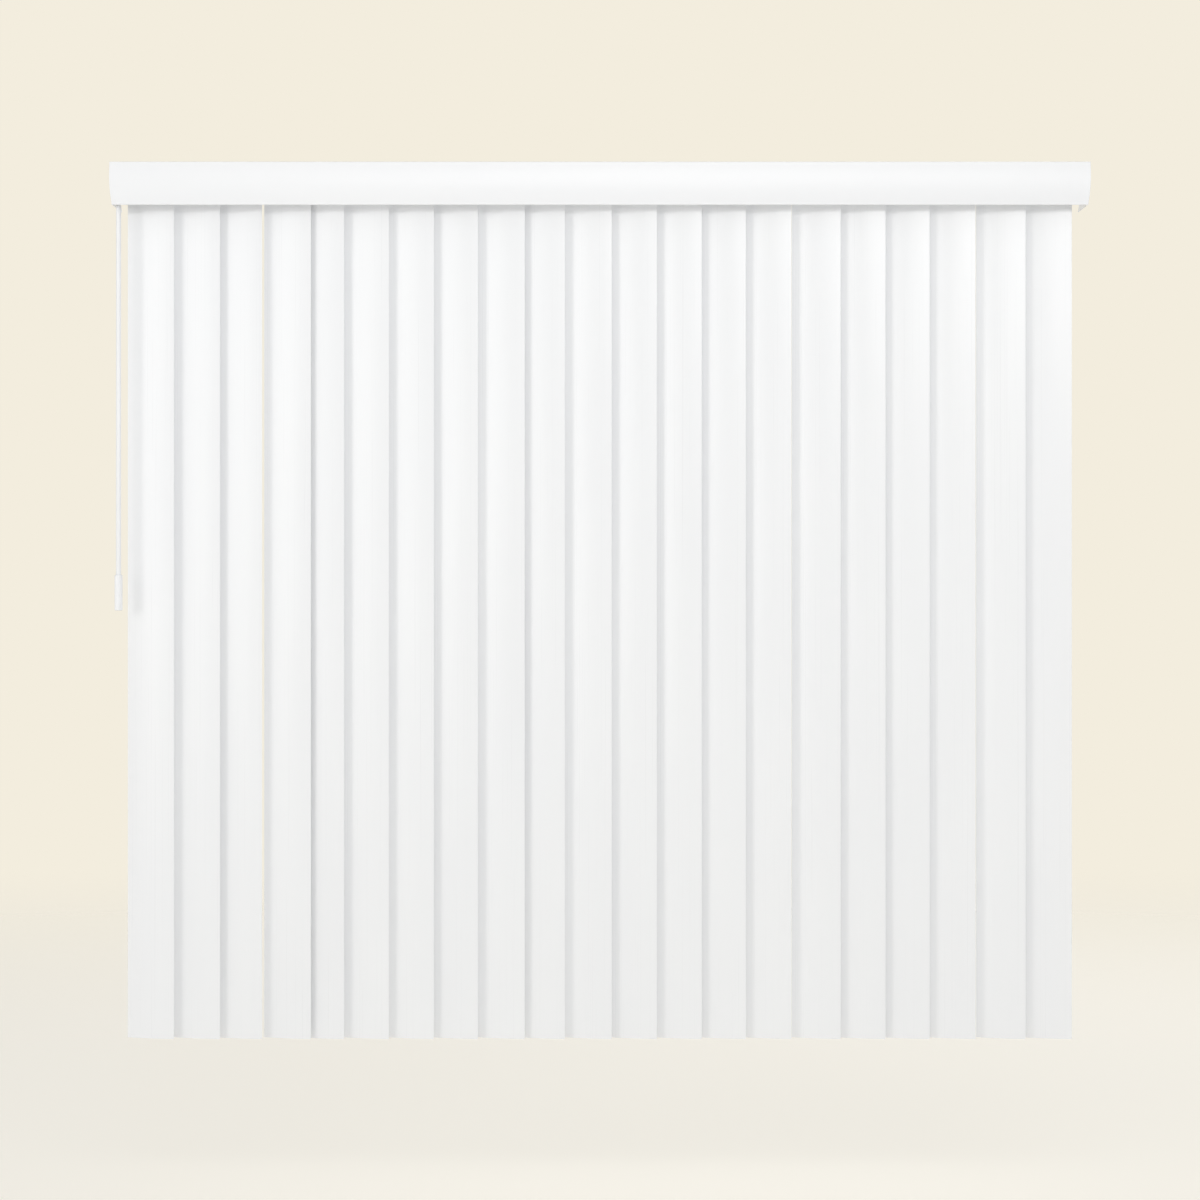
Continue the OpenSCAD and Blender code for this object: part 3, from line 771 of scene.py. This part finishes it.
# %% [markdown]
# The stage is a plain pale floor that fades into a pale warm backdrop, so that the white blind keeps
# a clear outline. The floor's finish has a little glow of its own, which is seen but sheds no light.
# It is solid only from above, so that a view from below looks past it.

# %% Finish of the floor
FLOOR = (244, 240, 230)
FLOOR_GLOW = 0.16
FADE_START = 2.6
FADE_END = 8.5


def shown_ray(tree):
    """One for what the camera sees, straight or in a reflection, and zero for light that is shed."""
    path = tree.nodes.new("ShaderNodeLightPath").outputs
    seen = calculate(tree, "MAXIMUM", path["Is Camera Ray"], path["Is Glossy Ray"])
    return calculate(tree, "MAXIMUM", seen, path["Is Transmission Ray"])


def floor_finish():
    """A pale matt finish that turns clear towards the rim, and from below."""
    material, shader = new_finish("pale_floor", FLOOR, 0.7, specular=0.2)
    shader.inputs["Emission Color"].default_value = linear(FLOOR)
    tree = material.node_tree
    glow = calculate(tree, "MULTIPLY", shown_ray(tree), FLOOR_GLOW)
    feed(tree, shader.inputs["Emission Strength"], glow)
    place = tree.nodes.new("ShaderNodeTexCoord")
    distance = add_node(tree, "ShaderNodeVectorMath", {"operation": "LENGTH"})
    feed(tree, distance.inputs[0], place.outputs["Object"])
    fade = add_node(tree, "ShaderNodeMapRange", {"interpolation_type": "SMOOTHSTEP"})
    feed(tree, fade.inputs["Value"], distance.outputs["Value"])
    fade.inputs["From Min"].default_value = FADE_START
    fade.inputs["From Max"].default_value = FADE_END
    below = tree.nodes.new("ShaderNodeNewGeometry").outputs["Backfacing"]
    mix = tree.nodes.new("ShaderNodeMixShader")
    feed(tree, mix.inputs["Fac"], calculate(tree, "MAXIMUM", fade.outputs["Result"], below))
    feed(tree, mix.inputs[1], shader.outputs["BSDF"])
    feed(tree, mix.inputs[2], tree.nodes.new("ShaderNodeBsdfTransparent").outputs["BSDF"])
    tree.links.new(mix.outputs["Shader"], tree.nodes["Material Output"].inputs["Surface"])
    return material


print("the floor fades from", FADE_START, "to", FADE_END, "m off the middle")

# %% [markdown]
# The floor itself is a large disc some way below the vanes, where it takes the blind's soft shadow.
# It belongs to the stage and not to the object.

# %% Floor
FLOOR_RADIUS = 9.0
FLOOR_SIDES = 96
FLOOR_GAP = 0.33
FLOOR_Z = vane_bottom - FLOOR_GAP


def pale_floor():
    """A large disc under the blind."""
    bm = bmesh.new()
    bmesh.ops.create_circle(bm, cap_ends=True, segments=FLOOR_SIDES, radius=FLOOR_RADIUS)
    bmesh.ops.translate(bm, verts=bm.verts, vec=(0, 0, FLOOR_Z))
    mesh = bpy.data.meshes.new("floor")
    bm.to_mesh(mesh)
    bm.free()
    mesh.materials.append(floor_finish())
    floor = bpy.data.objects.new("floor", mesh)
    scene.collection.objects.link(floor)


pale_floor()
print("floor at z =", round(FLOOR_Z, 3))

# %% [markdown]
# The backdrop is the world, seen by the camera and in reflections. The light that the world sheds is
# set apart from it, as a neutral fill, strongest at the horizon, because hanging vanes face the
# horizon and not the sky.

# %% Backdrop and fill
BACKDROP = (243, 237, 222)
FILL_COLOUR = (252, 253, 255)
FILL = 0.87
FILL_FALL = 0.54


def pale_world():
    """Shows the backdrop to the camera and to reflections, and sheds neutral light on the rest."""
    world = bpy.data.worlds.new("pale_world")
    world.use_nodes = True
    scene.world = world
    tree = world.node_tree
    light = tree.nodes["Background"]
    light.inputs["Color"].default_value = linear(FILL_COLOUR)
    direction = tree.nodes.new("ShaderNodeTexCoord").outputs["Generated"]
    height = add_node(tree, "ShaderNodeSeparateXYZ", Vector=direction).outputs["Z"]
    fall = calculate(tree, "MULTIPLY", square(tree, height), FILL_FALL)
    feed(tree, light.inputs["Strength"], calculate(tree, "SUBTRACT", FILL, fall))
    shown = tree.nodes.new("ShaderNodeBackground")
    shown.inputs["Color"].default_value = linear(BACKDROP)
    mix = tree.nodes.new("ShaderNodeMixShader")
    feed(tree, mix.inputs["Fac"], shown_ray(tree))
    feed(tree, mix.inputs[1], light.outputs["Background"])
    feed(tree, mix.inputs[2], shown.outputs["Background"])
    tree.links.new(mix.outputs["Shader"], tree.nodes["World Output"].inputs["Surface"])


pale_world()
print("fill of", FILL, "at the horizon and", round(FILL - FILL_FALL, 2), "overhead")

# %% [markdown]
# Three soft lamps join the fill. The front lamp is a wide, flat oval, a little to the right and
# above: it shines into the overlaps of the vanes, draws a short shadow under the valance, and its
# reflection is the long highlight along the valance. The side lamp stands far off to the left. Its
# sheen lies on the part of each vane that looks left and fades towards the vane's front edge, which
# shows the bow. The back lamp keeps the rail and the brackets clear when the blind is turned round.

# %% Lamps
MIDDLE = (frame_box[0] + frame_box[1]) / 2


def way_to(turn, rise):
    """Unit vector from the blind; a turn of zero is straight in front and a minus is to the left."""
    level = math.cos(rise)
    return Vector((level * math.sin(turn), -level * math.cos(turn), math.sin(rise)))


def soft_lamp(name, turn, rise, distance, width, height, power):
    """An oval area lamp that faces the blind; the turn and the rise are in degrees."""
    data = bpy.data.lights.new(name, "AREA")
    data.shape = "ELLIPSE"
    data.size = width
    data.size_y = height
    data.energy = power
    towards = way_to(math.radians(turn), math.radians(rise))
    lamp = bpy.data.objects.new(name, data)
    lamp.location = MIDDLE + distance * towards
    lamp.visible_camera = False
    lamp.rotation_mode = "QUATERNION"
    lamp.rotation_quaternion = towards.to_track_quat("Z", "Y")
    scene.collection.objects.link(lamp)
    print(name, "at", [round(v, 2) for v in lamp.location])


soft_lamp("front_lamp", turn=4, rise=16, distance=4.2, width=3.0, height=0.5, power=28)
soft_lamp("side_lamp", turn=-42, rise=8, distance=7.0, width=3.0, height=3.0, power=53)
soft_lamp("back_lamp", turn=150, rise=45, distance=7.0, width=5.0, height=5.0, power=110)

# %% [markdown]
# The photograph is taken level and square to the blind, from some way off: the returns show only as
# thin slivers. The valance's two ends and its top edge in the picture give the scale, and with a
# chosen distance they give the lens and the camera's height.

# %% Camera
PICTURE = 1200
VALANCE_LEFT_PX = 109
VALANCE_RIGHT_PX = 1091
VALANCE_TOP_PX = 161.5
CAMERA_DISTANCE = 6.0

metres_per_px = 2 * half_width / (VALANCE_RIGHT_PX - VALANCE_LEFT_PX)
centre_px = (VALANCE_LEFT_PX + VALANCE_RIGHT_PX) / 2
camera_data = bpy.data.cameras.new("camera")
camera_data.lens = camera_data.sensor_width * CAMERA_DISTANCE / (PICTURE * metres_per_px)
camera = bpy.data.objects.new("camera", camera_data)
camera.location.x = (PICTURE / 2 - centre_px) * metres_per_px
camera.location.y = front_y - CAMERA_DISTANCE
camera.location.z = face_high.z - (PICTURE / 2 - VALANCE_TOP_PX) * metres_per_px
camera.rotation_euler = (math.radians(90), 0, 0)
scene.collection.objects.link(camera)
scene.camera = camera
print("camera:", [round(v, 3) for v in camera.location], "lens", round(camera_data.lens, 1))

# %% [markdown]
# At the end the frame's own box is printed. The finished model's box has to agree with it, because
# dressing a part never changes its size.

# %% Print the frame's box
print("box of the frame:", [round(v, 4) for corner in frame_box for v in corner])
